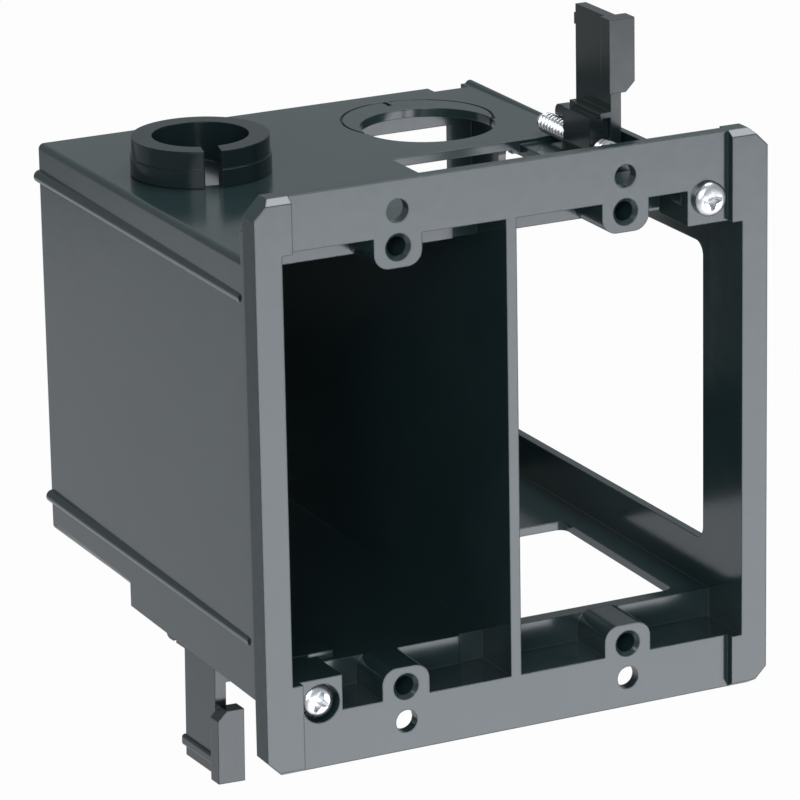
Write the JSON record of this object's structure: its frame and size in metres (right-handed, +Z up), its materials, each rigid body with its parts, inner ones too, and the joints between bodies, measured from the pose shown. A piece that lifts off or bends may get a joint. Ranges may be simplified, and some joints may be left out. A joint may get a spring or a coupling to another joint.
{
  "type": "low voltage mounting bracket",
  "caption": "Recessed wall bracket with a closed power box, an open-backed low voltage bay, a push-in cable connector and screw-driven clamp wings behind one flange.",
  "frame": {"origin": "centre of the rectangle of device screw holes, on the front of the flange plate", "axes": "+X to the right as seen from the room, +Y into the wall, +Z up"},
  "size_m": [0.1036, 0.1092, 0.1372],
  "materials": {
    "housing_plastic": "black, moulded, semi-gloss",
    "connector_plastic": "black, moulded, semi-gloss",
    "zinc_steel": "bright zinc plated",
    "wing_plastic": "black, moulded, semi-gloss"
  },
  "bodies": {
    "box": {"housing": "housing_plastic", "cable_connector": "connector_plastic"},
    "upper_screw": {"upper_clamp_screw": "zinc_steel"},
    "upper_wing": {"upper_clamp_wing": "wing_plastic"},
    "lower_screw": {"lower_clamp_screw": "zinc_steel"},
    "lower_wing": {"lower_clamp_wing": "wing_plastic"}
  },
  "joints": [
    {"name": "upper_wing_swing", "type": "hinge", "parent": "box", "child": "upper_screw", "pos_m": [0.0402, 0.03, 0.0418], "axis": [0, 1, 0], "range_deg": [-90, 0]},
    {"name": "upper_wing_travel", "type": "slide", "parent": "upper_screw", "child": "upper_wing", "axis": [0, -1, 0], "range_m": [0, 0.022]},
    {"name": "lower_wing_swing", "type": "hinge", "parent": "box", "child": "lower_screw", "pos_m": [-0.0402, 0.02998, -0.04285], "axis": [0, 0.9994, -0.0349], "range_deg": [-91.7, 0]},
    {"name": "lower_wing_travel", "type": "slide", "parent": "lower_screw", "child": "lower_wing", "axis": [0, -0.9994, 0.0349], "range_m": [0, 0.022]}
  ]
}
